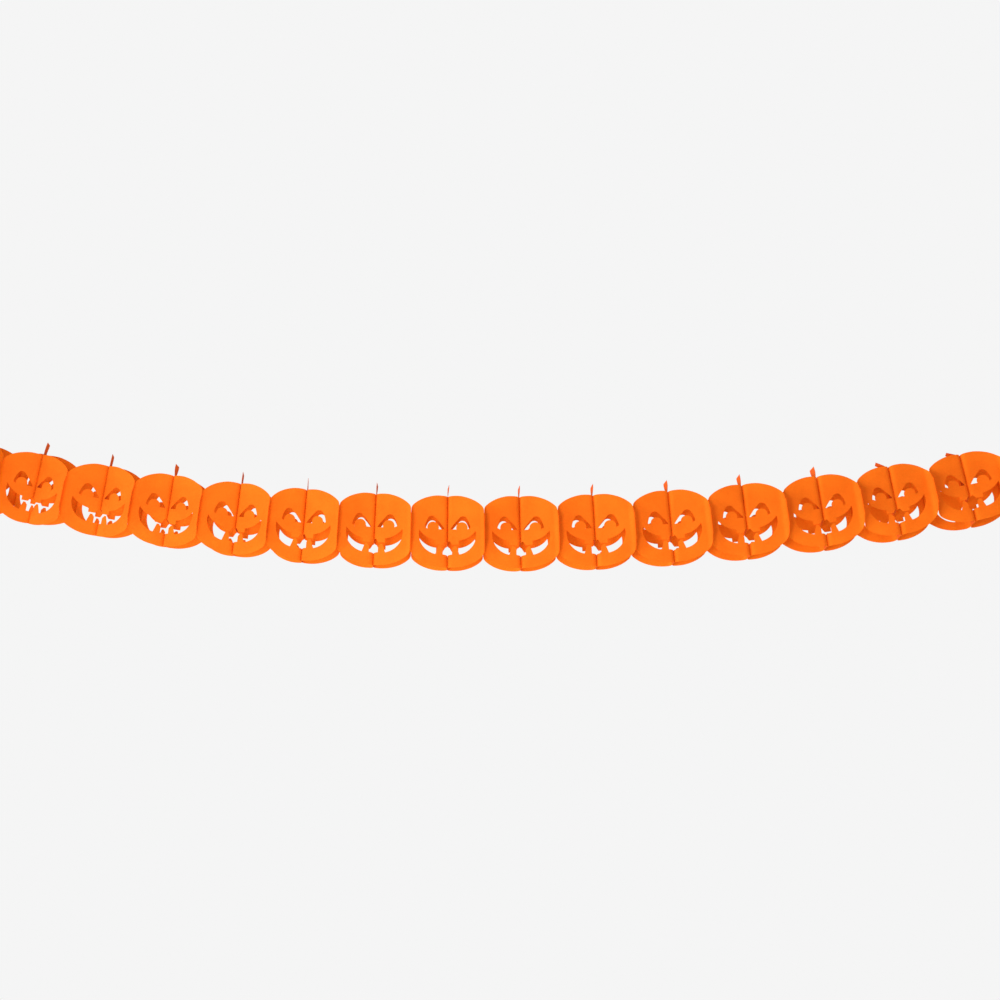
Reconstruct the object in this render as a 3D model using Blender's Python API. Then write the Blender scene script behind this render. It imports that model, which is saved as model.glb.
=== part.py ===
"""Paper garland of die-cut pumpkins, pulled open and hung in a shallow curve.

Every sheet is the same flat pumpkin: a lobed outline with a stem, two eyes and a toothed grin
cut right through. The sheets stand across the row and are glued in turn along the middle strip,
stem included, and along both side edges. Pulled open, two neighbouring sheets show a whole
pumpkin on the front of the row and its mirror at the back, where the grin sits a little lower.
A stiff plain card closes each end.

Metres. The row runs along X, its front faces -Y and Z is up. The origin is the point on the
outer face of the left end card where the garland is pinned up.
"""
import bpy
import bmesh
import math
from mathutils import Vector

MM = 0.001

# The row
WHOLE_PUMPKINS = 14
OPEN_MIDDLE = math.radians(83.8)
OPEN_GAIN_TO_RIGHT = math.radians(9.3)
OPEN_LOSS_AT_ENDS = math.radians(4.6)
HANG_RADIUS = 3.365
LOWEST_AFTER_MIDDLE = 75.5 * MM
LEAN_SHARE = 0.83
LEAN_TO_RIGHT = math.radians(1.0)
LEAN_GROWTH = 2.0

# The paper and the card
PAPER = 0.2 * MM
CARD = 0.5 * MM
GLUE_GAP = 0.3 * MM

# The flat sheet, measured from its middle
HALF_WIDTH = 67.8 * MM
HALF_HEIGHT = 51.8 * MM
SIDE_HALF_HEIGHT = 18.6 * MM
OUTLINE_SQUARENESS = 2.58
TOP_DIP = 2.8 * MM
BOTTOM_DIP = 1.4 * MM
DIP_REACH = 30.0 * MM
MIDDLE_STRIP = 6.0 * MM
EDGE_STRIP = 5.0 * MM
BEND_LENGTH = 9.8 * MM
PANEL_CORNERS = 3

# The stem
STEM_HALF_FOOT = 5.2 * MM
STEM_HALF_TOP = 3.6 * MM
STEM_TALL_SIDE = 16.5 * MM
STEM_SHORT_SIDE = 12.0 * MM

# The eyes: an arch with a round pupil standing up from its lower edge
EYE_INNER = 13.2 * MM
EYE_OUTER = 40.8 * MM
EYE_FLOOR = 2.4 * MM
EYE_OUTER_RISE = 2.0 * MM
EYE_SHOULDER_DROP = 3.2 * MM
EYE_SHOULDER_HALF = 5.4 * MM
EYE_PEAK = 30.8 * MM
EYE_HEIGHT = 18.6 * MM
PUPIL_CENTRE = 29.3 * MM
PUPIL_HALF = 7.4 * MM
PUPIL_HEIGHT = 10.2 * MM

# The grin: a band with two upper and two lower teeth
GRIN_TIP = 47.8 * MM
GRIN_TIP_HEIGHT = 0.3 * MM
LIP_MIDDLE = -13.5 * MM
LIP_AT_TOOTH = -13.2 * MM
UPPER_LIP_SAG = 2.8 * MM
UPPER_TOOTH_END = -18.8 * MM
UPPER_TOOTH_OUTER = 24.8 * MM
LOWER_LIP = -32.6 * MM
CHIN_CORNER = 25.6 * MM
LOWER_LIP_SAG = 8.3 * MM
LOWER_TOOTH_TOP = -20.8 * MM
LOWER_TOOTH_OUTER = 21.6 * MM
LOWER_TOOTH_INNER_TOP = 18.8 * MM
LOWER_TOOTH_SHOULDER = -24.6 * MM
TOOTH_SLANT = 3.4 * MM
BACK_GRIN_DROP = 5.0 * MM

# Where the garland is pinned up, above the middle of the end card
PIN_HEIGHT = 40.0 * MM

PAPER_COLOUR = (1.0, 0.215, 0.014, 1.0)
CARD_COLOUR = (0.92, 0.185, 0.012, 1.0)

GAPS = WHOLE_PUMPKINS + 1
WELD = 0.000001
FLAT = math.radians(1.0)


def clear_scene():
    for thing in list(bpy.data.objects):
        bpy.data.objects.remove(thing, do_unlink=True)


def matt_material(name, colour):
    material = bpy.data.materials.new(name)
    material.use_nodes = True
    material.diffuse_color = colour
    shader = material.node_tree.nodes["Principled BSDF"]
    shader.inputs["Base Color"].default_value = colour
    shader.inputs["Roughness"].default_value = 0.75
    shader.inputs["Metallic"].default_value = 0.0
    return material


def arc(start, end, rise, steps):
    """Points after start, up to and with end, on a circle that rises left of the chord."""
    start, end = Vector(start), Vector(end)
    half_chord = (end - start) / 2
    half = half_chord.length
    left = Vector((-half_chord.y, half_chord.x)) / half
    radius = (half * half + rise * rise) / (2 * rise)
    centre = start + half_chord + left * (rise - radius)
    sweep = -4 * math.atan(rise / half)
    spoke = start - centre
    points = []
    for step in range(1, steps + 1):
        turn = sweep * step / steps
        x = spoke.x * math.cos(turn) - spoke.y * math.sin(turn)
        y = spoke.x * math.sin(turn) + spoke.y * math.cos(turn)
        points.append((centre.x + x, centre.y + y))
    return points


def body_height(across):
    """Half height of the pumpkin body at a distance from the middle of the sheet."""
    share = min(abs(across) / HALF_WIDTH, 1.0)
    return HALF_HEIGHT * (1 - share ** OUTLINE_SQUARENESS) ** (1 / OUTLINE_SQUARENESS)


def dip(across, depth):
    """How far the outline dips between its two lobes, fading out at DIP_REACH."""
    near = max(0.0, 1 - abs(across) / DIP_REACH)
    return depth * near * near * (3 - 2 * near)


def top_height(across):
    return body_height(across) - dip(across, TOP_DIP)


def bottom_height(across):
    return dip(across, BOTTOM_DIP) - body_height(across)


def fold_stations():
    """The sheet's bend lines on one side, from the middle outwards."""
    return [
        MIDDLE_STRIP,
        MIDDLE_STRIP + BEND_LENGTH,
        HALF_WIDTH - EDGE_STRIP - BEND_LENGTH,
        HALF_WIDTH - EDGE_STRIP,
    ]


def outline_stations():
    """Distances from the middle at which the outline has a corner."""
    folds = fold_stations()
    step = (folds[2] - folds[1]) / (PANEL_CORNERS + 1)
    on_panel = [folds[1] + step * (corner + 1) for corner in range(PANEL_CORNERS)]
    return folds[:2] + on_panel + folds[2:] + [HALF_WIDTH]


def body_outline():
    """The pumpkin outline, once round from the stem over the +u side."""
    stations = outline_stations()
    top = [(u, max(top_height(u), SIDE_HALF_HEIGHT)) for u in stations]
    bottom = [(u, min(bottom_height(u), -SIDE_HALF_HEIGHT)) for u in reversed(stations)]
    right = top + bottom
    left = [(-u, v) for u, v in reversed(right)]
    foot = top_height(STEM_HALF_FOOT)
    stem = [
        (-STEM_HALF_FOOT, foot),
        (-STEM_HALF_TOP, foot + STEM_SHORT_SIDE),
        (STEM_HALF_TOP, foot + STEM_TALL_SIDE),
        (STEM_HALF_FOOT, foot),
    ]
    return stem + right + left


def mirrored(points):
    return [(-u, v) for u, v in reversed(points)]


def eye():
    """The eye on the +u side."""
    peak = EYE_FLOOR + EYE_HEIGHT
    inner_shoulder = (EYE_PEAK - EYE_SHOULDER_HALF, peak - EYE_SHOULDER_DROP)
    outer_shoulder = (EYE_PEAK + EYE_SHOULDER_HALF, peak - EYE_SHOULDER_DROP)
    outer_end = (EYE_OUTER, EYE_FLOOR + EYE_OUTER_RISE)
    points = [(EYE_INNER, EYE_FLOOR), inner_shoulder]
    points += arc(inner_shoulder, outer_shoulder, EYE_SHOULDER_DROP, 2)
    points.append(outer_end)
    pupil_right = (PUPIL_CENTRE + PUPIL_HALF, EYE_FLOOR)
    points.append(pupil_right)
    points += reversed(arc((PUPIL_CENTRE - PUPIL_HALF, EYE_FLOOR), pupil_right, PUPIL_HEIGHT, 5)[:-1])
    points.append((PUPIL_CENTRE - PUPIL_HALF, EYE_FLOOR))
    return points


def grin():
    """The grin, once round from the middle of the upper lip over the +u side.

    The +u side faces the front, and the other side, which faces the back, is cut a little lower.
    """
    tooth_inner = fold_stations()[1]
    tip = (GRIN_TIP, GRIN_TIP_HEIGHT)
    lip_corner = (UPPER_TOOTH_OUTER, LIP_AT_TOOTH)
    chin = (CHIN_CORNER, LOWER_LIP)
    right = [
        (tooth_inner - TOOTH_SLANT, LIP_MIDDLE),
        (tooth_inner, UPPER_TOOTH_END),
        (UPPER_TOOTH_OUTER, UPPER_TOOTH_END),
        lip_corner,
    ]
    right += arc(lip_corner, tip, -UPPER_LIP_SAG, 2)
    right += arc(tip, chin, LOWER_LIP_SAG, 3)
    right += [
        (LOWER_TOOTH_OUTER, LOWER_TOOTH_TOP),
        (LOWER_TOOTH_INNER_TOP, LOWER_TOOTH_TOP),
        (tooth_inner, LOWER_TOOTH_SHOULDER),
        (tooth_inner, LOWER_LIP),
    ]
    return right + [(u, v - BACK_GRIN_DROP) for u, v in mirrored(right)]


def new_collection(name):
    collection = bpy.data.collections.new(name)
    bpy.context.scene.collection.children.link(collection)
    return collection


def cut_plate(outlines, thickness):
    """A flat plate cut to the outlines, as a bmesh with u along x and v along y."""
    curve = bpy.data.curves.new("cut_outline", "CURVE")
    curve.dimensions = "2D"
    curve.fill_mode = "BOTH"
    curve.extrude = thickness / 2
    for outline in outlines:
        spline = curve.splines.new("POLY")
        spline.points.add(len(outline) - 1)
        spline.use_cyclic_u = True
        for point, (u, v) in zip(spline.points, outline):
            point.co = (u, v, 0.0, 1.0)
    plate = bpy.data.objects.new("cut_outline", curve)
    bpy.context.scene.collection.objects.link(plate)
    bpy.context.view_layer.update()
    graph = bpy.context.evaluated_depsgraph_get()
    mesh = bpy.data.meshes.new_from_object(plate.evaluated_get(graph))
    bpy.data.objects.remove(plate, do_unlink=True)
    bpy.data.curves.remove(curve)
    bm = bmesh.new()
    bm.from_mesh(mesh)
    bpy.data.meshes.remove(mesh)
    bmesh.ops.remove_doubles(bm, verts=bm.verts[:], dist=WELD)
    return bm


def score(bm, stations):
    """Cut the plate's faces along upright lines, so that it can bend there."""
    for station in stations:
        for across in (-station, station):
            geometry = bm.verts[:] + bm.edges[:] + bm.faces[:]
            bmesh.ops.bisect_plane(bm, geom=geometry, dist=WELD, plane_co=(across, 0, 0), plane_no=(1, 0, 0))


def merge_panels(bm, stations):
    """Leave one flat face a panel: drop the edges that lie between the bend lines."""
    def on_bend(edge):
        start, end = (vert.co.x for vert in edge.verts)
        return abs(start - end) < WELD and any(abs(abs(start) - s) < WELD for s in stations)

    def is_flat(edge):
        return len(edge.link_faces) == 2 and edge.calc_face_angle() < FLAT

    spare = [edge for edge in bm.edges if is_flat(edge) and not on_bend(edge)]
    bmesh.ops.dissolve_edges(bm, edges=spare, use_verts=False, use_face_split=False)
    loose = [v for v in bm.verts if len(v.link_edges) == 2]
    bmesh.ops.dissolve_verts(bm, verts=loose)


class Fold:
    """The plan of one half sheet: straight panels between bend lines."""

    def __init__(self, open_angle):
        self.stations = [0.0] + fold_stations()
        self.turns = [0.0, open_angle / 2, open_angle, open_angle / 2, 0.0]
        self.starts = [(0.0, 0.0)]
        lengths = [b - a for a, b in zip(self.stations, self.stations[1:])]
        for length, turn in zip(lengths, self.turns):
            x, y = self.starts[-1]
            self.starts.append((x + length * math.sin(turn), y + length * math.cos(turn)))

    def span(self):
        """How far the outer edge stands from the middle strip along the row."""
        return self.starts[-1][0]

    def place(self, u, offset):
        """Plan position of a point at u along the sheet, offset from its middle surface."""
        side = -1.0 if u < 0 else 1.0
        reach = abs(u)
        panel = max(i for i, s in enumerate(self.stations) if reach >= s - WELD)
        turn = self.turns[panel]
        before = self.turns[panel - 1] if abs(reach - self.stations[panel]) < WELD and panel else turn
        lean = (turn + before) / 2
        mitre = offset / math.cos((turn - before) / 2)
        x, y = self.starts[panel]
        along = reach - self.stations[panel]
        x += along * math.sin(turn) + mitre * math.cos(lean)
        y += along * math.cos(turn) - mitre * math.sin(lean)
        return x, -side * y


def open_angle(gap):
    """Angle at which the sheets of one gap stand open: most on the right, less at both ends."""
    middle = (GAPS - 1) / 2
    along = (gap - middle) / middle
    return OPEN_MIDDLE + OPEN_GAIN_TO_RIGHT * along - OPEN_LOSS_AT_ENDS * along ** 2


def seat():
    """Half of the space between two glued sheets, from middle surface to middle surface."""
    return (PAPER + GLUE_GAP) / 2


def stem_places():
    """Position of each stem along the row, from the middle of the row."""
    places = [0.0]
    for gap in range(GAPS):
        places.append(places[-1] + 2 * (Fold(open_angle(gap)).span() + 2 * seat()))
    middle = places[-1] / 2
    return [place - middle for place in places]


def lean_at(angle):
    """How far a sheet leans to the left at an angle along the hanging curve."""
    return LEAN_SHARE * angle - LEAN_TO_RIGHT + LEAN_GROWTH * angle ** 2


def hang(along, y, v):
    """Carry a point of the straight row onto the hanging curve."""
    angle = (along - LOWEST_AFTER_MIDDLE) / HANG_RADIUS
    lean = lean_at(angle)
    return Vector((
        HANG_RADIUS * math.sin(angle) - v * math.sin(lean),
        y,
        HANG_RADIUS * (1 - math.cos(angle)) + v * math.cos(lean),
    ))


def card_offset():
    """The end card's middle surface, out from the middle of the sheet glued to it."""
    return PAPER / 2 + GLUE_GAP + CARD / 2


def pin_point(places):
    """Where the left end card's outer face is pinned up."""
    outer_face = places[0] + seat() - card_offset() - CARD / 2
    return hang(outer_face, 0.0, PIN_HEIGHT)


def add_part(name, bm, origin, material, collection):
    """Make one named object whose own origin is the given point."""
    mesh = bpy.data.meshes.new(name)
    bm.to_mesh(mesh)
    bm.free()
    mesh.materials.append(material)
    part = bpy.data.objects.new(name, mesh)
    part.location = origin
    collection.objects.link(part)
    return part


def shaped(flat, carry, origin, turns_over):
    """A copy of the flat plate with every corner carried to its hanging place."""
    bm = flat.copy()
    for vert in bm.verts:
        vert.co = carry(*vert.co) - origin
    if turns_over:
        bmesh.ops.reverse_faces(bm, faces=bm.faces[:])
    return bm


def build_sheet(name, flat, stem_at, gap, side, home, material, collection):
    """One sheet, glued at its own stem and reaching to one side (+1 or -1) along the row."""
    fold = Fold(open_angle(gap))
    origin = hang(stem_at, 0.0, 0.0) - home

    def carry(u, v, offset):
        x, y = fold.place(u, offset)
        return hang(stem_at + side * (seat() + x), y, v) - home

    return add_part(name, shaped(flat, carry, origin, side > 0), origin, material, collection)


def build_end_card(name, flat, stem_at, side, home, material, collection):
    """The flat card outside the last sheet; side points outwards."""
    place = stem_at - side * seat() + side * card_offset()
    origin = hang(place, 0.0, 0.0) - home

    def carry(u, v, offset):
        return hang(place + offset, -u, v) - home

    return add_part(name, shaped(flat, carry, origin, True), origin, material, collection)


def build_garland():
    collection = new_collection("paper_pumpkin_garland")
    paper = matt_material("orange_paper", PAPER_COLOUR)
    card = matt_material("orange_card", CARD_COLOUR)
    folds = fold_stations()
    flat_sheet = cut_plate([body_outline(), eye(), mirrored(eye()), grin()], PAPER)
    score(flat_sheet, folds)
    merge_panels(flat_sheet, folds)
    flat_card = cut_plate([body_outline()], CARD)
    merge_panels(flat_card, [])
    places = stem_places()
    home = pin_point(places)
    for gap in range(GAPS):
        for half, side in enumerate((1, -1)):
            name = f"paper_sheet_{2 * gap + half + 1:02d}"
            build_sheet(name, flat_sheet, places[gap + half], gap, side, home, paper, collection)
    build_end_card("end_card_left", flat_card, places[0], -1, home, card, collection)
    build_end_card("end_card_right", flat_card, places[-1], 1, home, card, collection)
    flat_sheet.free()
    flat_card.free()


clear_scene()
build_garland()
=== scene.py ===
"""Paper garland of die-cut pumpkins: its finished sheets and cards, the stage and the camera.

Every sheet and card of the frame gets a finer twin in its own place: a smooth cut outline, round
folds, stems that lean as handled paper does, and a finish of fibres that lets some light through.
Metres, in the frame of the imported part: the row runs along X, faces -Y, and Z is up. On the flat
sheet, u runs across it and v runs up, both from its middle.
"""

import math

import bmesh
import bpy
from bpy.props import FloatProperty, FloatVectorProperty, PointerProperty
from mathutils import Matrix, Vector, noise


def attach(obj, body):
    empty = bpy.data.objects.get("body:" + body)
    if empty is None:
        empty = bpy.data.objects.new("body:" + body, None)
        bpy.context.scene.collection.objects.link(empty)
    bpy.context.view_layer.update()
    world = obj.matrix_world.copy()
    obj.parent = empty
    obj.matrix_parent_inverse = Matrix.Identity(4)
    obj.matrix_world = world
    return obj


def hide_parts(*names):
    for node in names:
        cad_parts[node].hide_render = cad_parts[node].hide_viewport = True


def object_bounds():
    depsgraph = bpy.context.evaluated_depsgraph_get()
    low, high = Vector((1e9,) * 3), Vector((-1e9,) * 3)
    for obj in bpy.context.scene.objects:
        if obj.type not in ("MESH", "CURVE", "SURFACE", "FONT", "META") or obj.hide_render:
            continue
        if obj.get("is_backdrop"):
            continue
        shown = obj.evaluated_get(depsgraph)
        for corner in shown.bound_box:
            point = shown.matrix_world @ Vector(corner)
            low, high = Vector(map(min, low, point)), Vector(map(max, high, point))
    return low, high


bl_info = {
    "name": "Paper pumpkin garland",
    "version": (1, 0, 0),
    "blender": (4, 5, 0),
    "location": "View3D > Sidebar > Garland",
    "description": "Folded paper garland of pumpkins with its finish, stage and camera",
    "category": "Object",
}

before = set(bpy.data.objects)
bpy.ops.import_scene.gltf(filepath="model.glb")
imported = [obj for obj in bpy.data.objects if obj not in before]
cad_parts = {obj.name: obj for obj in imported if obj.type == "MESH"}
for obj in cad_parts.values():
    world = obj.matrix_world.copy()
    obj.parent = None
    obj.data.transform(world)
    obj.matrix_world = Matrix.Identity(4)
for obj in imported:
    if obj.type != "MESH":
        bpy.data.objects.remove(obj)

MM = 0.001

# The row, as in the frame
WHOLE_PUMPKINS = 14
GAPS = WHOLE_PUMPKINS + 1
OPEN_MIDDLE = math.radians(83.8)
OPEN_GAIN_TO_RIGHT = math.radians(9.3)
OPEN_LOSS_AT_ENDS = math.radians(4.6)
HANG_RADIUS = 3.365
LOWEST_AFTER_MIDDLE = 75.5 * MM
LEAN_SHARE = 0.83
LEAN_TO_RIGHT = math.radians(1.0)
LEAN_GROWTH = 2.0
PAPER = 0.2 * MM
CARD = 0.5 * MM
GLUE_GAP = 0.3 * MM
PIN_HEIGHT = 40.0 * MM

# The flat sheet, measured from its middle, as in the frame but for its taller stem
HALF_WIDTH = 67.8 * MM
HALF_HEIGHT = 51.8 * MM
SIDE_HALF_HEIGHT = 18.6 * MM
OUTLINE_SQUARENESS = 2.58
TOP_DIP = 2.8 * MM
BOTTOM_DIP = 1.4 * MM
DIP_REACH = 30.0 * MM
MIDDLE_STRIP = 6.0 * MM
EDGE_STRIP = 5.0 * MM
BEND_LENGTH = 9.8 * MM

STEM_HALF_FOOT = 5.2 * MM
STEM_HALF_TOP = 3.6 * MM
STEM_TALL_SIDE = 18.5 * MM
STEM_SHORT_SIDE = 14.5 * MM

EYE_INNER = 13.2 * MM
EYE_OUTER = 40.8 * MM
EYE_FLOOR = 2.4 * MM
EYE_OUTER_RISE = 2.0 * MM
EYE_SHOULDER_DROP = 3.2 * MM
EYE_SHOULDER_HALF = 5.4 * MM
EYE_PEAK = 30.8 * MM
EYE_HEIGHT = 18.6 * MM
PUPIL_CENTRE = 29.3 * MM
PUPIL_HALF = 7.4 * MM
PUPIL_HEIGHT = 10.2 * MM

GRIN_TIP = 47.8 * MM
GRIN_TIP_HEIGHT = 0.3 * MM
LIP_MIDDLE = -13.5 * MM
LIP_AT_TOOTH = -13.2 * MM
UPPER_LIP_SAG = 2.8 * MM
UPPER_TOOTH_END = -18.8 * MM
UPPER_TOOTH_OUTER = 24.8 * MM
LOWER_LIP = -32.6 * MM
CHIN_CORNER = 25.6 * MM
LOWER_LIP_SAG = 8.3 * MM
LOWER_TOOTH_TOP = -20.8 * MM
LOWER_TOOTH_OUTER = 21.6 * MM
LOWER_TOOTH_INNER_TOP = 18.8 * MM
LOWER_TOOTH_SHOULDER = -24.6 * MM
TOOTH_SLANT = 3.4 * MM
BACK_GRIN_DROP = 5.0 * MM

# Small sizes of the outline: how a stem's foot flares and tucks in, and the slopes of the eye
STEM_FLARE = 0.6 * MM
STEM_FLARE_RISE = 0.1 * MM
STEM_TUCK = 0.5 * MM
STEM_TUCK_RISE = 1.6 * MM
STEM_CLEAR = 1.0 * MM
EYE_INNER_BULGE = 0.5 * MM
EYE_OUTER_BULGE = 0.7 * MM

# How handling has left the row. It is twisted, its top to the front at the left end and to the
# back at the right end. Its sheets lean outward at the ends, and their fronts have moved to the
# right. The two end cards keep their even places.
TWIST_AT_ENDS = math.radians(17.0)
LOOSE_LEAN_MIDDLE = math.radians(-2.5)
LOOSE_LEAN_GAIN = math.radians(13.0)
TURN_MIDDLE = math.radians(6.5)
TURN_GAIN_TO_RIGHT = math.radians(3.0)

# How far each stem has slipped to the right of its even place, from the left card to the right
# one, in mm, read from the feet of the stems in the photo
STEM_SLIPS = (0, -4, 1, 1.5, 2, -1, -1.5, -0.5, -1.5, -1, 1, 0.5, 1.5, -2, -5, 0)

# How each stem stands: how far it bends over (+ to the right), and how far it turns to show its
# side, both in degrees and read one by one
STEM_BENDS = (2, 9, 3, 2, 1, -2, 2, 3, 2, 3, -3, -4, -6, -62, -72, -3)
STEM_TURNS = (5, 14, 6, 30, 4, -4, 10, -12, -14, -18, -32, -26, -38, -20, -25, 6)
STEM_BEND_ZONE = 5.0 * MM

# The mesh
OUTLINE_STEPS = 44
CHIN_STEP = 2.0 * MM
CHIN_STEPS = 2
ARC_STEP = 0.9 * MM
ARC_LEAST_STEPS = 3
COLUMN_STEP = 2.6 * MM
BEND_STEP = 1.1 * MM
ROW_STEP = 4.0 * MM
ROWS_BELOW = 14
ROWS_ABOVE = 18
WELD = 0.000001
SHARP = math.radians(35.0)

# The bent sheet: round folds traced in short steps, a middle strip pressed close to its
# neighbour's, so that no light passes the glue, stems bent in a few steps, and waves
ROUND_BEND = 12.0 * MM
TRACE_STEP = 0.2 * MM
JUST_UNDER_ONE = 0.999
PRESS = 0.12 * MM
STEM_STEPS = 12
WAVE_SHARE_ALONG = 0.6
WAVE_SEED_STEP = 7.31
SECOND_WAVE = 0.5

# The finish: noise scales in cells per metre, roughness from the smoothest to the roughest place,
# and the side of the square that the sheet's map covers
SHEET_MAP = 160.0 * MM
MAP_MIDDLE = 0.5
CLOUD_SCALE = 26.0
CLOUD_LOW = 0.36
CLOUD_HIGH = 0.64
FELT_SCALE = 420.0
FELT_SHARE = 0.42
FIBRE_SCALE = 1500.0
FIBRE_STRETCH = (1.0, 0.35, 1.0)
FIBRE_DEPTH = 0.06 * MM
FOLD_LINE = 0.9 * MM
FOLD_DEPTH = 0.2 * MM
WORN_FOLD = (1.0, 0.30, 0.035)
# How softly the painted shade and the weaker glow of the glue strip fade out at its edge
GLUE_FADE = 1.0 * MM
PAPER_ROUGHNESS = (0.62, 0.86)
CARD_FELT_SCALE = 300.0
CARD_FIBRE_SCALE = 1300.0
CARD_FIBRE_DEPTH = 0.08 * MM
CARD_ROUGHNESS = (0.55, 0.75)
DEEPER_GLOW = 0.8
DEEPER_CARD = 0.86
DEEPER_FLOOR = 0.98
GLUED_GLOW = 0.25

# Places of the Mix node's sockets, which share their names between kinds of mix
MIX_SHARE = 0
MIX_NUMBERS = (2, 3)
MIX_NUMBER_OUT = 0
MIX_COLOURS = (6, 7)
MIX_COLOUR_OUT = 2

# The stage and the camera, whose turn, rise and roll are in radians
KEY_COLOUR = (1.0, 0.985, 0.96)
KEY_PLACE = (0.4, -0.9, -0.5)
KEY_AIM = (0.8, 0.0, -0.05)
SIDE_DISTANCE = 3.0
ROOM_COLOUR = (1.0, 0.95, 0.91)
FLOOR_SIDE = 3.2
FLOOR_CLOUD_SCALE = 3.0
FLOOR_ROUGHNESS = 0.8
CAMERA_PLACE = (0.8314, -1.6141, -0.5057)
CAMERA_TURN = 0.0545
CAMERA_RISE = 0.2506
CAMERA_ROLL = -0.0085
CAMERA_SENSOR = 36.0
CAMERA_NEAR = 0.05
CAMERA_FAR = 50.0


class GarlandRowSettings(bpy.types.PropertyGroup):
    waviness: FloatProperty(
        name="Waviness",
        description="How far the flat parts of a sheet stray from flat",
        default=0.7 * MM, min=0.0, max=3 * MM, subtype="DISTANCE", unit="LENGTH",
    )
    wave_length: FloatProperty(
        name="Wave length",
        description="Size of one gentle wave in a sheet",
        default=45 * MM, min=5 * MM, max=0.3, subtype="DISTANCE", unit="LENGTH",
    )
    handling: FloatProperty(
        name="Handling",
        description="How far the sheets have slipped, tipped and turned; 0 leaves the row even",
        default=1.0, min=0.0, max=1.0, subtype="FACTOR",
    )


class GarlandFinishSettings(bpy.types.PropertyGroup):
    paper: FloatVectorProperty(
        name="Paper",
        description="Colour of the dyed paper",
        default=(1.0, 0.235, 0.012), min=0.0, max=1.0, size=3, subtype="COLOR",
    )
    paper_deep: FloatVectorProperty(
        name="Deeper paper",
        description="Colour of the paper where its fibres lie closer",
        default=(0.98, 0.19, 0.008), min=0.0, max=1.0, size=3, subtype="COLOR",
    )
    # Painted shade: a darker colour for the middle strip and the stems, standing in for the shade they lie
    # in
    glued_painted_shade: FloatVectorProperty(
        name="Glued paper",
        description="Colour of the paper where the glue soaked two sheets",
        default=(0.62, 0.10, 0.012), min=0.0, max=1.0, size=3, subtype="COLOR",
    )
    glow: FloatVectorProperty(
        name="Glow",
        description="Colour of the light that comes through one face of a sheet",
        default=(1.0, 0.55, 0.12), min=0.0, max=1.0, size=3, subtype="COLOR",
    )
    glow_share: FloatProperty(
        name="Glow share",
        description="Share of the light that goes through one face of a sheet",
        default=0.45, min=0.0, max=1.0, subtype="FACTOR",
    )
    card: FloatVectorProperty(
        name="Card",
        description="Colour of the stiff end cards",
        default=(0.92, 0.185, 0.012), min=0.0, max=1.0, size=3, subtype="COLOR",
    )


class GarlandStageSettings(bpy.types.PropertyGroup):
    background: FloatVectorProperty(
        name="Background",
        description="Colour behind the garland",
        default=(0.913, 0.913, 0.913), min=0.0, max=1.0, size=3, subtype="COLOR",
    )
    floor: FloatVectorProperty(
        name="Floor",
        description="Colour of the floor",
        default=(0.95, 0.95, 0.95), min=0.0, max=1.0, size=3, subtype="COLOR",
    )
    floor_below: FloatProperty(
        name="Floor below",
        description="How far the floor lies below the lowest point of the garland",
        default=1.4, min=0.0, max=5.0, subtype="DISTANCE", unit="LENGTH",
    )
    ambient: FloatProperty(
        name="Ambient",
        description="Strength of the even light from all round",
        default=0.72, min=0.0, max=3.0,
    )
    key_power: FloatProperty(
        name="Key power",
        description="Power of the soft lamp in front of the left half",
        default=8.0, min=0.0, max=100.0, unit="POWER",
    )
    key_size: FloatProperty(
        name="Key size",
        description="Side of the soft lamp in front of the left half",
        default=0.35, min=0.01, max=2.0, subtype="DISTANCE", unit="LENGTH",
    )
    side_strength: FloatProperty(
        name="Side strength",
        description="Strength of the far soft light from the left",
        default=2.4, min=0.0, max=20.0,
    )
    side_angle: FloatProperty(
        name="Side angle",
        description="How far to the left of the row's front the side light stands",
        default=math.radians(72.0), min=0.0, max=math.pi / 2, subtype="ANGLE", unit="ROTATION",
    )
    side_rise: FloatProperty(
        name="Side rise",
        description="How high above the level the side light stands, below it when negative",
        default=math.radians(-8.0), min=-math.pi / 2, max=math.pi / 2, subtype="ANGLE", unit="ROTATION",
    )
    side_softness: FloatProperty(
        name="Side softness",
        description="Apparent size of the side light",
        default=math.radians(26.0), min=0.0, max=math.pi, subtype="ANGLE", unit="ROTATION",
    )
    focal: FloatProperty(
        name="Focal length",
        description="Focal length of the camera",
        default=43.2, min=10.0, max=200.0, unit="CAMERA",
    )


def eased(share):
    """A share from 0 to 1 with a gentle start and end."""
    share = max(0.0, min(1.0, share))
    return share * share * (3 - 2 * share)


def arc(start, end, rise):
    """Points after start, up to and with end, on a circle that rises left of the chord."""
    start, end = Vector(start), Vector(end)
    half_chord = (end - start) / 2
    half = half_chord.length
    left = Vector((-half_chord.y, half_chord.x)) / half
    radius = (half * half + rise * rise) / (2 * rise)
    centre = start + half_chord + left * (rise - radius)
    sweep = -4 * math.atan(rise / half)
    steps = max(ARC_LEAST_STEPS, math.ceil(abs(sweep * radius) / ARC_STEP))
    spoke = start - centre
    points = []
    for step in range(1, steps + 1):
        turn = sweep * step / steps
        x = spoke.x * math.cos(turn) - spoke.y * math.sin(turn)
        y = spoke.x * math.sin(turn) + spoke.y * math.cos(turn)
        points.append((centre.x + x, centre.y + y))
    return points


def body_height(across):
    """Half the height of the plain pumpkin outline at a distance from its middle."""
    share = min(abs(across) / HALF_WIDTH, 1.0)
    return HALF_HEIGHT * (1 - share ** OUTLINE_SQUARENESS) ** (1 / OUTLINE_SQUARENESS)


def dip(across, depth):
    """How far the outline dips around its middle."""
    return depth * eased(1 - abs(across) / DIP_REACH)


def top_height(across):
    """The outline's upper edge, without its stem."""
    return body_height(across) - dip(across, TOP_DIP)


def bottom_height(across):
    """The outline's lower edge."""
    return dip(across, BOTTOM_DIP) - body_height(across)


def mirrored(points):
    return [(-u, v) for u, v in reversed(points)]


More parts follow.
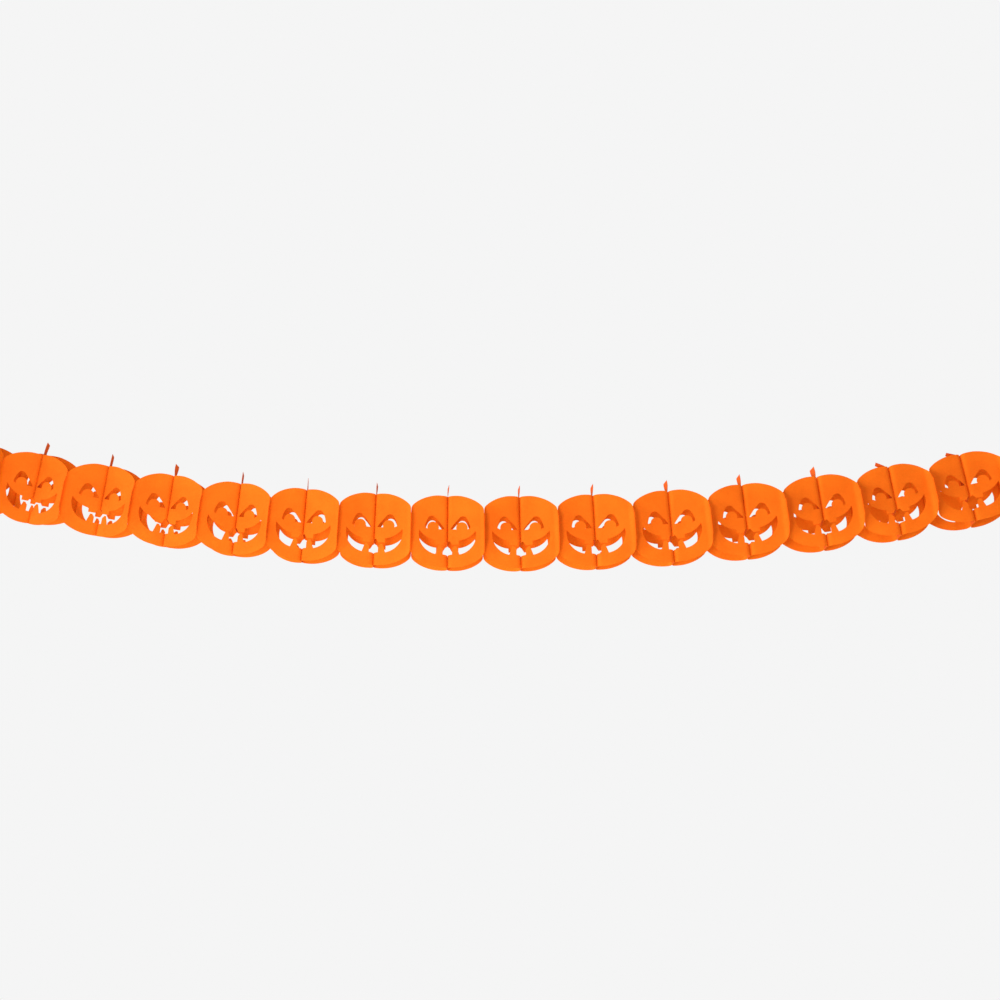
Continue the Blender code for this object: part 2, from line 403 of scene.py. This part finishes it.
def lowered(points, drop):
    return [(u, v - drop) for u, v in points]


def stem_outline():
    """The stem from its left foot over its slanted top to its right foot."""
    foot = top_height(STEM_HALF_FOOT)
    return [
        (-STEM_HALF_FOOT - STEM_FLARE, foot + STEM_FLARE_RISE),
        (-STEM_HALF_FOOT + STEM_TUCK, foot + STEM_TUCK_RISE),
        (-STEM_HALF_TOP, foot + STEM_SHORT_SIDE),
        (STEM_HALF_TOP, foot + STEM_TALL_SIDE),
        (STEM_HALF_FOOT - STEM_TUCK, foot + STEM_TUCK_RISE),
        (STEM_HALF_FOOT + STEM_FLARE, foot + STEM_FLARE_RISE),
    ]


def body_outline():
    """The smooth pumpkin outline with its stem, once round."""
    turns = [math.pi / 2 * step / OUTLINE_STEPS for step in range(OUTLINE_STEPS + 1)]
    stations = [HALF_WIDTH * math.sin(turn) for turn in turns]
    stations = [station for station in stations if station > STEM_HALF_FOOT + STEM_CLEAR]
    top = [(u, max(top_height(u), SIDE_HALF_HEIGHT)) for u in stations]
    bottom = [(u, min(bottom_height(u), -SIDE_HALF_HEIGHT)) for u in reversed(stations)]
    right = top + bottom
    chin_stations = [CHIN_STEP * step for step in range(CHIN_STEPS, -CHIN_STEPS - 1, -1)]
    chin = [(u, bottom_height(u)) for u in chin_stations]
    return stem_outline() + right + chin + mirrored(right)


def eye():
    """The eye on the +u side: an arch with a round pupil standing up from its lower edge."""
    shoulder_height = EYE_FLOOR + EYE_HEIGHT - EYE_SHOULDER_DROP
    inner_shoulder = (EYE_PEAK - EYE_SHOULDER_HALF, shoulder_height)
    outer_shoulder = (EYE_PEAK + EYE_SHOULDER_HALF, shoulder_height)
    inner_corner = (EYE_INNER, EYE_FLOOR)
    outer_corner = (EYE_OUTER, EYE_FLOOR + EYE_OUTER_RISE)
    pupil_left = (PUPIL_CENTRE - PUPIL_HALF, EYE_FLOOR)
    pupil_right = (PUPIL_CENTRE + PUPIL_HALF, EYE_FLOOR)
    points = [inner_corner]
    points += arc(inner_corner, inner_shoulder, EYE_INNER_BULGE)
    points += arc(inner_shoulder, outer_shoulder, EYE_SHOULDER_DROP)
    points += arc(outer_shoulder, outer_corner, EYE_OUTER_BULGE)
    points.append(pupil_right)
    points += reversed(arc(pupil_left, pupil_right, PUPIL_HEIGHT)[:-1])
    points.append(pupil_left)
    return points


def grin_half():
    """The grin over the +u side, from its upper lip to its lower one."""
    tooth_inner = MIDDLE_STRIP + BEND_LENGTH
    tip = (GRIN_TIP, GRIN_TIP_HEIGHT)
    lip_corner = (UPPER_TOOTH_OUTER, LIP_AT_TOOTH)
    points = [
        (tooth_inner - TOOTH_SLANT, LIP_MIDDLE),
        (tooth_inner, UPPER_TOOTH_END),
        (UPPER_TOOTH_OUTER, UPPER_TOOTH_END),
        lip_corner,
    ]
    points += arc(lip_corner, tip, -UPPER_LIP_SAG)
    points += arc(tip, (CHIN_CORNER, LOWER_LIP), LOWER_LIP_SAG)
    points += [
        (LOWER_TOOTH_OUTER, LOWER_TOOTH_TOP),
        (LOWER_TOOTH_INNER_TOP, LOWER_TOOTH_TOP),
        (tooth_inner, LOWER_TOOTH_SHOULDER),
        (tooth_inner, LOWER_LIP),
    ]
    return points


def grin():
    """The whole grin, cut lower in the back half of the sheet than in its front half."""
    return grin_half() + mirrored(lowered(grin_half(), BACK_GRIN_DROP))


def finished_mesh(scratch):
    """The mesh that an object shows, with its modifiers; the object itself is removed."""
    bpy.context.scene.collection.objects.link(scratch)
    bpy.context.view_layer.update()
    graph = bpy.context.evaluated_depsgraph_get()
    mesh = bpy.data.meshes.new_from_object(scratch.evaluated_get(graph))
    bpy.data.objects.remove(scratch, do_unlink=True)
    return mesh


def filled_mesh(outlines):
    """The area inside the first outline and outside the others, as Blender fills it."""
    curve = bpy.data.curves.new("cut_outline", "CURVE")
    curve.dimensions = "2D"
    curve.fill_mode = "BOTH"
    for outline in outlines:
        spline = curve.splines.new("POLY")
        spline.points.add(len(outline) - 1)
        spline.use_cyclic_u = True
        for point, (u, v) in zip(spline.points, outline):
            point.co = (u, v, 0.0, 1.0)
    cut = bpy.data.objects.new("cut_outline", curve)
    mesh = finished_mesh(cut)
    bpy.data.curves.remove(curve)
    return mesh


def cut_face(outlines):
    """A flat sheet without thickness, cut to the outlines, with u along x and v along y."""
    mesh = filled_mesh(outlines)
    skin = bmesh.new()
    skin.from_mesh(mesh)
    bpy.data.meshes.remove(mesh)
    bmesh.ops.remove_doubles(skin, verts=skin.verts[:], dist=WELD)
    bmesh.ops.recalc_face_normals(skin, faces=skin.faces[:])
    if skin.faces[:][0].normal.z < 0:
        bmesh.ops.reverse_faces(skin, faces=skin.faces[:])
    return skin


def spaced(start, end, step):
    """Places after start, up to and with end, evenly spaced by at most a step."""
    count = max(1, math.ceil((end - start) / step))
    return [start + (end - start) * i / count for i in range(1, count + 1)]


def columns():
    """Upright grid lines on one side: close together in the two bends."""
    inner = MIDDLE_STRIP + BEND_LENGTH
    outer = HALF_WIDTH - EDGE_STRIP - BEND_LENGTH
    lines = [0.0] + spaced(0.0, MIDDLE_STRIP, COLUMN_STEP)
    lines += spaced(MIDDLE_STRIP, inner, BEND_STEP)
    lines += spaced(inner, outer, COLUMN_STEP)
    lines += spaced(outer, HALF_WIDTH - EDGE_STRIP, BEND_STEP)
    return lines


def sheet_map(skin):
    """Writes every corner's place on the flat sheet, which the finish needs for folds and for the glue
    strip with its painted shade.
    """
    layer = skin.loops.layers.uv.new("sheet")
    for face in skin.faces:
        for loop in face.loops:
            u, v, _ = loop.vert.co
            loop[layer].uv = (MAP_MIDDLE + u / SHEET_MAP, MAP_MIDDLE + v / SHEET_MAP)


def grid_face(outlines):
    """The flat sheet divided into small quads, so that it can bend smoothly."""
    skin = cut_face(outlines)
    upright = [sign * u for u in columns() for sign in ((1, -1) if u else (1,))]
    rows = [i * ROW_STEP for i in range(-ROWS_BELOW, ROWS_ABOVE + 1)]
    cuts = [((u, 0, 0), (1, 0, 0)) for u in upright] + [((0, v, 0), (0, 1, 0)) for v in rows]
    for place, normal in cuts:
        geometry = skin.verts[:] + skin.edges[:] + skin.faces[:]
        bmesh.ops.bisect_plane(skin, geom=geometry, dist=WELD, plane_co=place, plane_no=normal)

    def on_grid(edge):
        start, end = (vert.co for vert in edge.verts)
        if abs(start.x - end.x) < WELD:
            return any(abs(start.x - u) < WELD for u in upright)
        if abs(start.y - end.y) < WELD:
            return any(abs(start.y - v) < WELD for v in rows)
        return False

    spare = [edge for edge in skin.edges if len(edge.link_faces) == 2 and not on_grid(edge)]
    bmesh.ops.dissolve_edges(skin, edges=spare, use_verts=False, use_face_split=False)
    left_over = [
        vert for vert in skin.verts
        if len(vert.link_edges) == 2 and not any(edge.is_boundary for edge in vert.link_edges)
    ]
    bmesh.ops.dissolve_verts(skin, verts=left_over)
    sheet_map(skin)
    return skin


class RoundFold:
    """The plan of one half sheet with round bends, set to reach as far as the frame's own."""

    def __init__(self, angle):
        self.points = [(0.0, 0.0)]
        for i in range(round(HALF_WIDTH / TRACE_STEP)):
            turn = angle * self.opened((i + 0.5) * TRACE_STEP)
            x, y = self.points[-1]
            self.points.append((x + TRACE_STEP * math.sin(turn), y + TRACE_STEP * math.cos(turn)))
        stretch = half_span(angle) / self.points[-1][0]
        self.points = [(x * stretch, y) for x, y in self.points]

    def opened(self, reach):
        """0 in the strips stuck to the neighbouring sheets, 1 in the flat panel between them."""
        middle = MIDDLE_STRIP + BEND_LENGTH / 2
        outer = HALF_WIDTH - EDGE_STRIP - BEND_LENGTH / 2
        into = (reach - middle) / ROUND_BEND + 0.5
        out = (outer - reach) / ROUND_BEND + 0.5
        return eased(min(into, out))

    def place(self, reach):
        """Plan position along the row and away from its middle, for a distance along the sheet."""
        at = min(reach / TRACE_STEP, len(self.points) - 2 + JUST_UNDER_ONE)
        index = int(at)
        share = at - index
        (x0, y0), (x1, y1) = self.points[index], self.points[index + 1]
        return x0 + (x1 - x0) * share, y0 + (y1 - y0) * share


def half_span(angle):
    """How far along the row a half sheet of the frame reaches when its panel opens by an angle."""
    panel = HALF_WIDTH - MIDDLE_STRIP - EDGE_STRIP - 2 * BEND_LENGTH
    return 2 * BEND_LENGTH * math.sin(angle / 2) + panel * math.sin(angle)


def opening(gap):
    """The angle by which the two sheets in a gap between stems open."""
    middle = (GAPS - 1) / 2
    along = (gap - middle) / middle
    return OPEN_MIDDLE + OPEN_GAIN_TO_RIGHT * along - OPEN_LOSS_AT_ENDS * along ** 2


def seat():
    """From the glue line between two sheets to the middle of either one."""
    return (PAPER + GLUE_GAP) / 2


def stem_places():
    """Where the stems stand along the straight row, from its middle."""
    places = [0.0]
    for gap in range(GAPS):
        places.append(places[-1] + 2 * (half_span(opening(gap)) + 2 * seat()))
    middle = places[-1] / 2
    return [place - middle for place in places]


def hang(along, y, v):
    """Where a point of the straight row lies once the row hangs."""
    angle = (along - LOWEST_AFTER_MIDDLE) / HANG_RADIUS
    lean = LEAN_SHARE * angle - LEAN_TO_RIGHT + LEAN_GROWTH * angle ** 2
    return Vector((
        HANG_RADIUS * math.sin(angle) - v * math.sin(lean),
        y,
        HANG_RADIUS * (1 - math.cos(angle)) + v * math.cos(lean),
    ))


def stem_count(along, places):
    """How many stems lie to the left of a place, with an eased share of the gap it is in."""
    reach = min(max(along, places[0]), places[-1])
    index = max(i for i in range(GAPS) if reach >= places[i])
    return index + eased((reach - places[index]) / (places[index + 1] - places[index]))


def between(values, count):
    """The value at a place in the row, from one value for each stem."""
    index = min(int(count), GAPS - 1)
    share = count - index
    return values[index] * (1 - share) + values[index + 1] * share


def handled(along, y, v, places, settings):
    """Where a point of the even row lies once the sheets have slipped, twisted and turned."""
    count = stem_count(along, places)
    side = 2 * count / GAPS - 1
    loose = settings.handling * min(count, GAPS - count, 1.0)
    tip = -loose * TWIST_AT_ENDS * side * abs(side)
    lean = loose * (LOOSE_LEAN_MIDDLE + LOOSE_LEAN_GAIN * side ** 2)
    turn = loose * (TURN_MIDDLE + TURN_GAIN_TO_RIGHT * side)
    slip = settings.handling * between(STEM_SLIPS, count) * MM
    tipped_y = y * math.cos(tip) - v * math.sin(tip)
    tipped_v = y * math.sin(tip) + v * math.cos(tip)
    return hang(along + slip + math.tan(lean) * v - math.tan(turn) * y, tipped_y, tipped_v)


def card_offset():
    """From the glue line outside the last sheet to the middle of the card."""
    return PAPER / 2 + GLUE_GAP + CARD / 2


def pin_point(places):
    """The place on the left card that the frame's origin lies on."""
    outer_face = places[0] + seat() - card_offset() - CARD / 2
    return hang(outer_face, 0.0, PIN_HEIGHT)


def stem_shift(stem, y, v):
    """How the paper above the foot of a stem bends over and turns: (along, y, v) of the point."""
    foot = top_height(STEM_HALF_FOOT)
    above = v - foot
    if above <= 0:
        return 0.0, y, v
    bend = math.radians(STEM_BENDS[stem])
    turn = math.radians(STEM_TURNS[stem])
    along, height = 0.0, 0.0
    for i in range(STEM_STEPS):
        angle = bend * eased((i + 0.5) / STEM_STEPS * above / STEM_BEND_ZONE)
        along += above / STEM_STEPS * math.sin(angle)
        height += above / STEM_STEPS * math.cos(angle)
    twist = turn * eased(above / STEM_SHORT_SIDE)
    return along + y * math.sin(twist), y * math.cos(twist), foot + height


def wave(u, v, seed, settings):
    """How far a point strays from its flat panel, in gentle waves that end at the strips stuck to the
    neighbouring sheets.
    """
    size = settings.wave_length
    value = noise.noise(Vector((u / size, v / size, seed * WAVE_SEED_STEP)))
    near = min(abs(u) - MIDDLE_STRIP, HALF_WIDTH - EDGE_STRIP - abs(u)) / BEND_LENGTH
    return settings.waviness * value * eased(near)


def new_piece(name, mesh, nodes, material):
    """A finished piece that takes the place of its nodes in the frame."""
    piece = bpy.data.objects.new(name, mesh)
    bpy.context.scene.collection.objects.link(piece)
    piece.data.materials.append(material)
    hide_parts(*nodes)
    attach(piece, "root")
    return piece


def thickened(skin, thickness, name):
    """The sheet as a thin solid: the same skin on both sides and a rim."""
    mesh = bpy.data.meshes.new(name)
    skin.to_mesh(mesh)
    skin.free()
    shell = bpy.data.objects.new("shell", mesh)
    solid = shell.modifiers.new("thickness", "SOLIDIFY")
    solid.thickness = thickness
    solid.offset = 0.0
    solid.use_even_offset = True
    result = finished_mesh(shell)
    result.name = name
    bpy.data.meshes.remove(mesh)
    result.shade_smooth()
    result.set_sharp_from_angle(angle=SHARP)
    return result


def sheet_mesh(flat, number, places, home, settings):
    """The bent sheet: odd sheets reach right from their stem, even sheets reach left."""
    gap, half = divmod(number - 1, 2)
    side = 1 if half == 0 else -1
    stem = gap + half
    fold = RoundFold(opening(gap))
    press_end = MIDDLE_STRIP + BEND_LENGTH
    skin = flat.copy()
    for vert in skin.verts:
        u, v, _ = vert.co
        x, y = fold.place(abs(u))
        x += wave(u, v, number, settings) * WAVE_SHARE_ALONG
        x -= PRESS * eased((press_end - abs(u)) / BEND_LENGTH)
        y += wave(u, v, number + SECOND_WAVE, settings)
        y = -y if u > 0 else y
        shift, y, v = stem_shift(stem, y, v)
        along = places[stem] + side * (seat() + x)
        vert.co = handled(along, y, v, places, settings) + Vector((shift, 0, 0)) - home
    if side > 0:
        bmesh.ops.reverse_faces(skin, faces=skin.faces[:])
    return thickened(skin, PAPER, f"sheet_{number:02d}")


def card_mesh(flat, stem, side, places, home, name, settings):
    """The stiff card outside the last sheet."""
    place = places[stem] - side * seat() + side * card_offset()
    skin = flat.copy()
    for vert in skin.verts:
        u, v, _ = vert.co
        vert.co = handled(place, -u, v, places, settings) - home
    return thickened(skin, CARD, name)


class Nodes:
    """The nodes of one material or world, with short ways to add and join them."""

    def __init__(self, holder):
        holder.use_nodes = True
        self.tree = holder.node_tree
        self.tree.nodes.clear()

    def add(self, kind, **values):
        """A new node, with its settings and sockets set by name (_ for the space in a socket's)."""
        node = self.tree.nodes.new(kind)
        for key, value in values.items():
            if hasattr(node, key):
                setattr(node, key, value)
            else:
                self.feed(node, key.replace("_", " "), value)
        return node

    def feed(self, node, socket, value):
        """Joins another node's output to a socket, or sets the socket to a number or colour."""
        if isinstance(value, bpy.types.NodeSocket):
            self.tree.links.new(value, node.inputs[socket])
        else:
            node.inputs[socket].default_value = value

    def sum(self, operation, *values):
        """The result of a Math node."""
        node = self.add("ShaderNodeMath", operation=operation)
        for index, value in enumerate(values):
            self.feed(node, index, value)
        return node.outputs[0]

    def speckle(self, place, scale, **values):
        """Noise from 0 to 1 with a number of cells per metre."""
        node = self.add("ShaderNodeTexNoise", Vector=place, Scale=scale, **values)
        return node.outputs["Fac"]

    def ramp(self, value, **values):
        """A value brought from one range to another and kept within it."""
        node = self.add("ShaderNodeMapRange", Value=value, **values)
        return node.outputs["Result"]

    def mixed_number(self, share, first, second):
        """A number between two."""
        node = self.add("ShaderNodeMix", data_type="FLOAT")
        for socket, value in zip((MIX_SHARE, *MIX_NUMBERS), (share, first, second)):
            self.feed(node, socket, value)
        return node.outputs[MIX_NUMBER_OUT]

    def mixed_colour(self, share, first, second):
        """A colour between two."""
        node = self.add("ShaderNodeMix", data_type="RGBA")
        for socket, value in zip((MIX_SHARE, *MIX_COLOURS), (share, first, second)):
            self.feed(node, socket, value)
        return node.outputs[MIX_COLOUR_OUT]

    def mixed_shader(self, share, first, second):
        """A surface or background between two."""
        node = self.add("ShaderNodeMixShader")
        for socket, value in enumerate((share, first, second)):
            self.feed(node, socket, value)
        return node.outputs["Shader"]

    def bump(self, height, **values):
        """The surface's direction with fine relief on it."""
        node = self.add("ShaderNodeBump", Height=height, **values)
        return node.outputs["Normal"]

    def matt(self, colour, relief, felt, roughness, gloss):
        """A dull surface, rougher where its felt is thick."""
        smooth, rough = roughness
        uneven = self.ramp(felt, To_Min=smooth, To_Max=rough)
        node = self.add("ShaderNodeBsdfPrincipled", Base_Color=colour, Normal=relief, Roughness=uneven)
        self.feed(node, "Specular IOR Level", gloss)
        return node.outputs["BSDF"]

    def end(self, kind, shader):
        """The output node of the material or world."""
        self.add(kind, Surface=shader)


def opaque(colour, share=1.0):
    """A colour for a socket, darkened to a share of itself."""
    return (*(share * part for part in colour), 1.0)


def fibre_height(nodes, place, scale):
    """Fine fibres lying every way, and the soft felt between them."""
    stretch = nodes.add("ShaderNodeMapping", Vector=place, Scale=FIBRE_STRETCH)
    stretched = stretch.outputs["Vector"]
    return nodes.speckle(stretched, scale, Detail=4.0, Roughness=0.62, Distortion=1.1)


def from_middle(nodes):
    """How far a place lies from the upright middle line of its flat sheet, in shares of the map."""
    sheet = nodes.add("ShaderNodeUVMap", uv_map="sheet")
    separate = nodes.add("ShaderNodeSeparateXYZ", Vector=sheet.outputs["UV"])
    return nodes.sum("ABSOLUTE", nodes.sum("SUBTRACT", separate.outputs["X"], MAP_MIDDLE))


def fold_line(nodes, reach, at):
    """1 on the two upright lines at a distance from the middle of the sheet, 0 elsewhere."""
    away = nodes.sum("ABSOLUTE", nodes.sum("SUBTRACT", reach, at / SHEET_MAP))
    return nodes.ramp(away, interpolation_type="SMOOTHSTEP", From_Min=FOLD_LINE / SHEET_MAP, From_Max=0.0)


def glue_strip_with_painted_shade(nodes, reach):
    """1 on the middle strip and its stem, where the glue joins two sheets and where shade is painted, 0
    elsewhere.
    """
    outside = (MIDDLE_STRIP + GLUE_FADE) / SHEET_MAP
    inside = (MIDDLE_STRIP - GLUE_FADE) / SHEET_MAP
    return nodes.ramp(reach, interpolation_type="SMOOTHSTEP", From_Min=outside, From_Max=inside)


def paper_material(settings):
    """Dyed paper: cloudy colour, fibres, pale fold lines, painted shade on the middle strip and stems, and
    light that comes through.
    """
    material = bpy.data.materials.new("dyed_orange_paper")
    nodes = Nodes(material)
    place = nodes.add("ShaderNodeTexCoord").outputs["Object"]
    reach = from_middle(nodes)
    # Mask of the middle strip and stems: shade is painted there, and less light comes through the two
    # sheets
    glued_painted_shade = glue_strip_with_painted_shade(nodes, reach)
    inner = fold_line(nodes, reach, MIDDLE_STRIP)
    outer = fold_line(nodes, reach, HALF_WIDTH - EDGE_STRIP)
    folds = nodes.sum("MAXIMUM", inner, outer)

    clouds = nodes.speckle(place, CLOUD_SCALE, Detail=3.0, Roughness=0.55)
    felt = nodes.speckle(place, FELT_SCALE, Detail=4.0, Roughness=0.7)
    fibres = fibre_height(nodes, place, FIBRE_SCALE)
    cloudy = nodes.mixed_number(FELT_SHARE, clouds, felt)
    cloudy = nodes.ramp(cloudy, From_Min=CLOUD_LOW, From_Max=CLOUD_HIGH)
    dyed = nodes.mixed_colour(cloudy, opaque(settings.paper), opaque(settings.paper_deep))
    # Painted shade: the middle strip and the stems take the darker colour
    soaked = nodes.mixed_colour(glued_painted_shade, dyed, opaque(settings.glued_painted_shade))
    worn = nodes.mixed_colour(nodes.sum("MULTIPLY", folds, felt), soaked, opaque(WORN_FOLD))

    felted = nodes.bump(fibres, Strength=0.35, Distance=FIBRE_DEPTH)
    creased = nodes.bump(folds, Strength=0.5, Distance=FOLD_DEPTH, Normal=felted, invert=True)
    surface = nodes.matt(worn, creased, felt, PAPER_ROUGHNESS, 0.1)

    glow = nodes.mixed_colour(cloudy, opaque(settings.glow), opaque(settings.glow, DEEPER_GLOW))
    through = nodes.add("ShaderNodeBsdfTranslucent", Color=glow)
    share = nodes.ramp(glued_painted_shade, To_Min=settings.glow_share, To_Max=settings.glow_share * GLUED_GLOW)
    lit = nodes.mixed_shader(share, surface, through.outputs["BSDF"])
    nodes.end("ShaderNodeOutputMaterial", lit)
    return material


def card_material(settings):
    """Stiff dyed card: close felt, a little smoother than the paper."""
    material = bpy.data.materials.new("dyed_orange_card")
    nodes = Nodes(material)
    place = nodes.add("ShaderNodeTexCoord").outputs["Object"]
    felt = nodes.speckle(place, CARD_FELT_SCALE, Detail=5.0)
    fibres = fibre_height(nodes, place, CARD_FIBRE_SCALE)
    dyed = nodes.mixed_colour(felt, opaque(settings.card), opaque(settings.card, DEEPER_CARD))
    felted = nodes.bump(fibres, Strength=0.3, Distance=CARD_FIBRE_DEPTH)
    surface = nodes.matt(dyed, felted, felt, CARD_ROUGHNESS, 0.3)
    nodes.end("ShaderNodeOutputMaterial", surface)
    return material


class GARLAND_OT_sheets(bpy.types.Operator):
    """Cut, fold and hang the paper sheets"""

    bl_idname = "garland.sheets"
    bl_label = "Paper sheets"

    def execute(self, context):
        settings = context.scene.garland_row
        material = paper_material(context.scene.garland_finish)
        flat = grid_face([body_outline(), eye(), mirrored(eye()), grin()])
        places = stem_places()
        home = pin_point(places)
        for number in range(1, 2 * GAPS + 1):
            mesh = sheet_mesh(flat, number, places, home, settings)
            new_piece(mesh.name, mesh, [f"paper_sheet_{number:02d}"], material)
        flat.free()
        return {"FINISHED"}


class GARLAND_OT_end_cards(bpy.types.Operator):
    """Cut the two stiff cards that close the ends of the row"""

    bl_idname = "garland.end_cards"
    bl_label = "End cards"

    def execute(self, context):
        settings = context.scene.garland_row
        material = card_material(context.scene.garland_finish)
        flat = grid_face([body_outline()])
        places = stem_places()
        home = pin_point(places)
        for name, stem, side in (("left", 0, -1), ("right", GAPS, 1)):
            mesh = card_mesh(flat, stem, side, places, home, f"card_{name}", settings)
            new_piece(mesh.name, mesh, [f"end_card_{name}"], material)
        flat.free()
        return {"FINISHED"}


def pale_world(settings):
    """Pale to the camera and in reflections, and an even soft light on the object."""
    world = bpy.data.worlds.new("pale_room")
    nodes = Nodes(world)
    rays = nodes.add("ShaderNodeLightPath")
    seen = nodes.add("ShaderNodeBackground", Color=opaque(settings.background), Strength=1.0)
    light = nodes.add("ShaderNodeBackground", Color=opaque(ROOM_COLOUR), Strength=settings.ambient)
    glossy = nodes.sum("MAXIMUM", rays.outputs["Is Camera Ray"], rays.outputs["Is Glossy Ray"])
    shown = nodes.sum("MAXIMUM", glossy, rays.outputs["Is Transmission Ray"])
    room = nodes.mixed_shader(shown, light.outputs["Background"], seen.outputs["Background"])
    nodes.end("ShaderNodeOutputWorld", room)
    bpy.context.scene.world = world


def floor_material(settings):
    """Pale matt floor with faint clouds."""
    material = bpy.data.materials.new("pale_floor")
    nodes = Nodes(material)
    place = nodes.add("ShaderNodeTexCoord").outputs["Object"]
    cloud = nodes.speckle(place, FLOOR_CLOUD_SCALE)
    pale = nodes.mixed_colour(cloud, opaque(settings.floor), opaque(settings.floor, DEEPER_FLOOR))
    surface = nodes.add("ShaderNodeBsdfPrincipled", Base_Color=pale, Roughness=FLOOR_ROUGHNESS)
    nodes.end("ShaderNodeOutputMaterial", surface.outputs["BSDF"])
    return material


def lay_floor(settings):
    """The level floor under the garland."""
    low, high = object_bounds()
    middle = (low + high) / 2
    bpy.ops.mesh.primitive_plane_add(size=1.0, location=(middle.x, 0.0, low.z - settings.floor_below))
    floor = bpy.context.active_object
    floor.name = "floor"
    floor.scale = (FLOOR_SIDE, FLOOR_SIDE, 1.0)
    floor.data.materials.append(floor_material(settings))
    floor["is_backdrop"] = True


def new_lamp(lamp, place, backward):
    """A lamp at a place, with its back to a direction."""
    piece = bpy.data.objects.new(lamp.name, lamp)
    piece.location = place
    piece.rotation_mode = "QUATERNION"
    piece.rotation_quaternion = backward.to_track_quat("Z", "Y")
    bpy.context.scene.collection.objects.link(piece)


def key_light(settings):
    """One soft lamp from the front left, low enough to reach in under the front sheets."""
    lamp = bpy.data.lights.new("key_light", "AREA")
    lamp.size = settings.key_size
    lamp.energy = settings.key_power
    lamp.color = KEY_COLOUR
    new_lamp(lamp, KEY_PLACE, Vector(KEY_PLACE) - Vector(KEY_AIM))


def side_light(settings):
    """A far soft light from the left that parts the two halves of each face."""
    lamp = bpy.data.lights.new("side_light", "SUN")
    lamp.energy = settings.side_strength
    lamp.angle = settings.side_softness
    lamp.color = KEY_COLOUR
    away = Vector((
        -math.sin(settings.side_angle) * math.cos(settings.side_rise),
        -math.cos(settings.side_angle) * math.cos(settings.side_rise),
        math.sin(settings.side_rise),
    ))
    new_lamp(lamp, away * SIDE_DISTANCE, away)


class GARLAND_OT_stage(bpy.types.Operator):
    """Lay the floor and set the soft lamps and the pale room"""

    bl_idname = "garland.stage"
    bl_label = "Stage"

    def execute(self, context):
        settings = context.scene.garland_stage
        lay_floor(settings)
        pale_world(settings)
        key_light(settings)
        side_light(settings)
        return {"FINISHED"}


def camera_pose():
    """The camera's place and directions: it looks along its own -Z, with its own Y up."""
    level = math.cos(CAMERA_RISE)
    forward = Vector((-math.sin(CAMERA_TURN) * level, math.cos(CAMERA_TURN) * level, math.sin(CAMERA_RISE)))
    level_right = Vector((math.cos(CAMERA_TURN), math.sin(CAMERA_TURN), 0.0))
    level_up = level_right.cross(forward)
    right = math.cos(CAMERA_ROLL) * level_right + math.sin(CAMERA_ROLL) * level_up
    up = math.cos(CAMERA_ROLL) * level_up - math.sin(CAMERA_ROLL) * level_right
    pose = Matrix((right, up, -forward)).transposed().to_4x4()
    pose.translation = Vector(CAMERA_PLACE)
    return pose


class GARLAND_OT_camera(bpy.types.Operator):
    """Set the camera where the picture was taken from"""

    bl_idname = "garland.camera"
    bl_label = "Camera"

    def execute(self, context):
        lens = bpy.data.cameras.new("camera")
        lens.sensor_width = CAMERA_SENSOR
        lens.lens = context.scene.garland_stage.focal
        lens.dof.use_dof = False
        lens.clip_start = CAMERA_NEAR
        lens.clip_end = CAMERA_FAR
        camera = bpy.data.objects.new("camera", lens)
        camera.matrix_world = camera_pose()
        context.scene.collection.objects.link(camera)
        context.scene.camera = camera
        context.scene.view_settings.view_transform = "Standard"
        return {"FINISHED"}


class VIEW3D_PT_garland(bpy.types.Panel):
    """The garland's parts and settings"""

    bl_label = "Paper garland"
    bl_space_type = "VIEW_3D"
    bl_region_type = "UI"
    bl_category = "Garland"

    def draw(self, context):
        column = self.layout.column()
        for operator in (GARLAND_OT_sheets, GARLAND_OT_end_cards, GARLAND_OT_stage, GARLAND_OT_camera):
            column.operator(operator.bl_idname)
        for group in ("garland_row", "garland_finish", "garland_stage"):
            settings = getattr(context.scene, group)
            for name in settings.__annotations__:
                column.prop(settings, name)


CLASSES = (
    GarlandRowSettings,
    GarlandFinishSettings,
    GarlandStageSettings,
    GARLAND_OT_sheets,
    GARLAND_OT_end_cards,
    GARLAND_OT_stage,
    GARLAND_OT_camera,
    VIEW3D_PT_garland,
)


def register():
    for cls in CLASSES:
        bpy.utils.register_class(cls)
    bpy.types.Scene.garland_row = PointerProperty(type=GarlandRowSettings)
    bpy.types.Scene.garland_finish = PointerProperty(type=GarlandFinishSettings)
    bpy.types.Scene.garland_stage = PointerProperty(type=GarlandStageSettings)


def unregister():
    del bpy.types.Scene.garland_stage
    del bpy.types.Scene.garland_finish
    del bpy.types.Scene.garland_row
    for cls in reversed(CLASSES):
        bpy.utils.unregister_class(cls)


def main():
    register()
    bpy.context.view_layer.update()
    bpy.ops.garland.sheets()
    bpy.ops.garland.end_cards()
    bpy.ops.garland.stage()
    bpy.ops.garland.camera()


if __name__ == "__main__":
    main()
